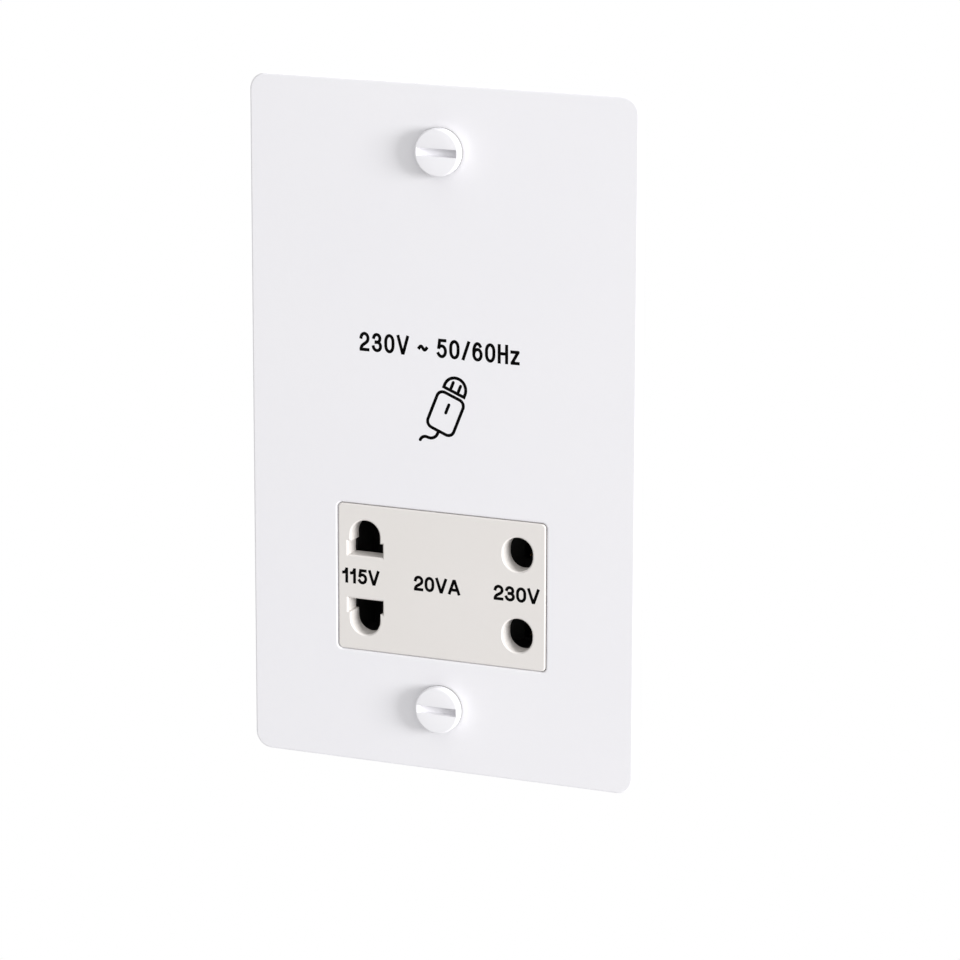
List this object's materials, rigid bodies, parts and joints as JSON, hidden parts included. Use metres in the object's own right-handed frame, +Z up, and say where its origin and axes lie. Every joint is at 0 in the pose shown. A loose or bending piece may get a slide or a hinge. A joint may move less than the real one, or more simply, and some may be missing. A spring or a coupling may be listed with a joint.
{
  "type": "shaver socket",
  "caption": "Flat upright wall plate with an off-white insert whose apertures take shaver plugs of two voltages, coin-slot fixing screws and a stepped rear housing with supply terminals.",
  "frame": {"origin": "centre of the faceplate's back face, on the wall plane, midway between the two fixing screws", "axes": "+Z up the plate, +Y through the plate into the wall box, the plate faces -Y"},
  "size_m": [0.0886, 0.0475, 0.1484],
  "materials": {
    "plate_coat": "satin powder coat",
    "screw_coat": "satin powder coat",
    "insert_plastic": "fine satin moulding",
    "plated_steel": "bright plated",
    "shutter_plastic": "plain moulding",
    "carrier_plastic": "plain moulding",
    "contact_bronze": "rolled strip",
    "core_steel": "stacked laminations",
    "former_plastic": "plain moulding",
    "winding_copper": "enamelled wire",
    "winding_tape": "film tape",
    "cutout_case": "plain moulding",
    "housing_plastic": "fine moulded texture",
    "block_plastic": "plain moulding",
    "terminal_brass": "machined",
    "lead_brown": "insulation",
    "lead_blue": "insulation",
    "lead_black": "insulation",
    "lead_green": "insulation"
  },
  "bodies": {
    "socket": {"coil_former": "former_plastic", "common_lead": "lead_black", "common_link": "contact_bronze", "contact_115_lower": "contact_bronze", "contact_115_upper": "contact_bronze", "contact_230_lower": "contact_bronze", "contact_230_upper": "contact_bronze", "contact_carrier": "carrier_plastic", "core_e_stack": "core_steel", "core_i_stack": "core_steel", "cutout_lead": "lead_brown", "earth_lead": "lead_green", "earth_tag": "plated_steel", "earth_terminal": "terminal_brass", "faceplate": "plate_coat", "fixing_screws": "screw_coat", "former_pins": "plated_steel", "front_moulding": "insert_plastic", "housing_screws": "plated_steel", "lead_115": "lead_black", "lead_230": "lead_black", "live_lead": "lead_brown", "live_terminal": "terminal_brass", "neutral_lead": "lead_blue", "neutral_terminal": "terminal_brass", "primary_winding": "winding_copper", "primary_wrap": "winding_tape", "rear_housing": "housing_plastic", "secondary_winding": "winding_copper", "secondary_wrap": "winding_tape", "stud_nuts": "plated_steel", "terminal_block": "block_plastic", "terminal_screws": "plated_steel", "thermal_cutout": "cutout_case"},
    "shutter": {"interlock_shutter": "shutter_plastic"}
  },
  "joints": [
    {"name": "shutter_slide", "type": "slide", "parent": "socket", "child": "shutter", "axis": [1, 0, 0], "range_m": [0, 0.0085]}
  ]
}
